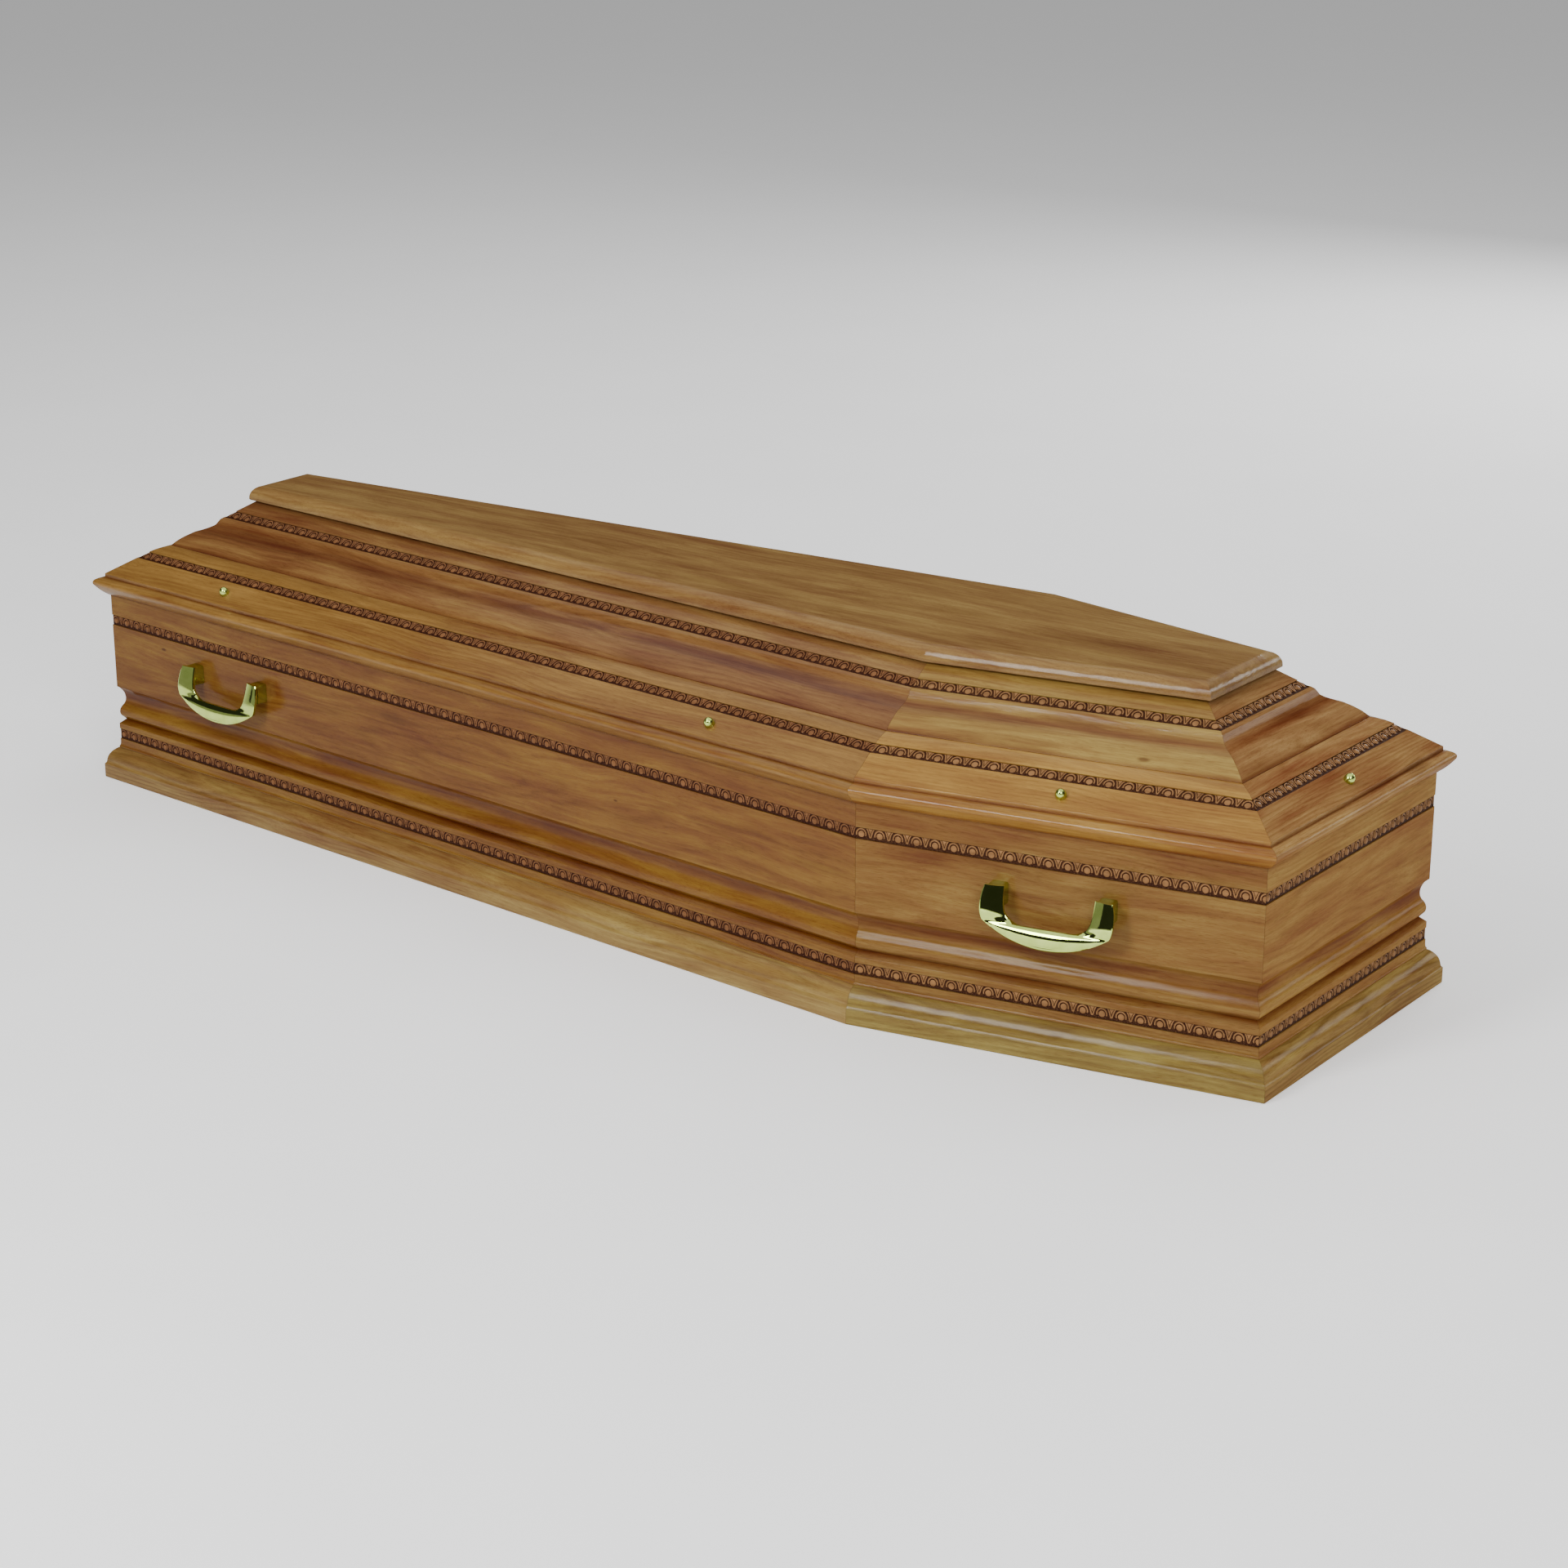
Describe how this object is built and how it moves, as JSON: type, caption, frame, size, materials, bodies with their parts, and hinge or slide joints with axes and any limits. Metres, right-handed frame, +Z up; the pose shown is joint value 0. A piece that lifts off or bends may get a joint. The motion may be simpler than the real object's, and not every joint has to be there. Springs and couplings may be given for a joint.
{
  "type": "wooden coffin",
  "caption": "Six-sided varnished oak coffin with a moulded plinth and waist, a hollow stepped lid with carved egg and dart bands, brass handles and brass screw caps.",
  "frame": {"origin": "middle of the coffin's underside, on the surface it stands on", "axes": "+X towards the head end along the length, +Y towards the right-hand side of a person lying in it, +Z up"},
  "size_m": [1.9374, 0.6476, 0.433],
  "materials": {
    "panel_oak": "satin varnished oak, warm mid brown, grain along the board",
    "plinth_oak": "satin varnished oak, olive tan",
    "lid_rim_oak": "satin varnished oak, warm mid brown",
    "lid_slope_oak": "satin varnished oak, warm mid brown with broad figure",
    "lid_top_oak": "satin varnished oak, warm mid brown",
    "bottom_oak": "plain unvarnished oak",
    "brass": "polished brass"
  },
  "bodies": {
    "root": {"bottom_board": "bottom_oak", "wall_left_foot": "panel_oak", "wall_left_head": "panel_oak", "wall_head": "panel_oak", "wall_right_head": "panel_oak", "wall_right_foot": "panel_oak", "wall_foot": "panel_oak", "plinth_left_foot": "plinth_oak", "plinth_left_head": "plinth_oak", "plinth_head": "plinth_oak", "plinth_right_head": "plinth_oak", "plinth_right_foot": "plinth_oak", "plinth_foot": "plinth_oak", "lid_rim_left_foot": "lid_rim_oak", "lid_rim_left_head": "lid_rim_oak", "lid_rim_head": "lid_rim_oak", "lid_rim_right_head": "lid_rim_oak", "lid_rim_right_foot": "lid_rim_oak", "lid_rim_foot": "lid_rim_oak", "lid_slope_left_foot": "lid_slope_oak", "lid_slope_left_head": "lid_slope_oak", "lid_slope_head": "lid_slope_oak", "lid_slope_right_head": "lid_slope_oak", "lid_slope_right_foot": "lid_slope_oak", "lid_slope_foot": "lid_slope_oak", "lid_top_board": "lid_top_oak", "screw_cap_left_foot": "brass", "screw_cap_left_middle": "brass", "screw_cap_left_head": "brass", "screw_cap_head_end": "brass", "screw_cap_right_head": "brass", "screw_cap_right_middle": "brass", "screw_cap_right_foot": "brass", "screw_cap_foot_end": "brass", "handle_left_foot": "brass", "handle_left_head": "brass", "handle_right_foot": "brass", "handle_right_head": "brass"}
  },
  "joints": []
}
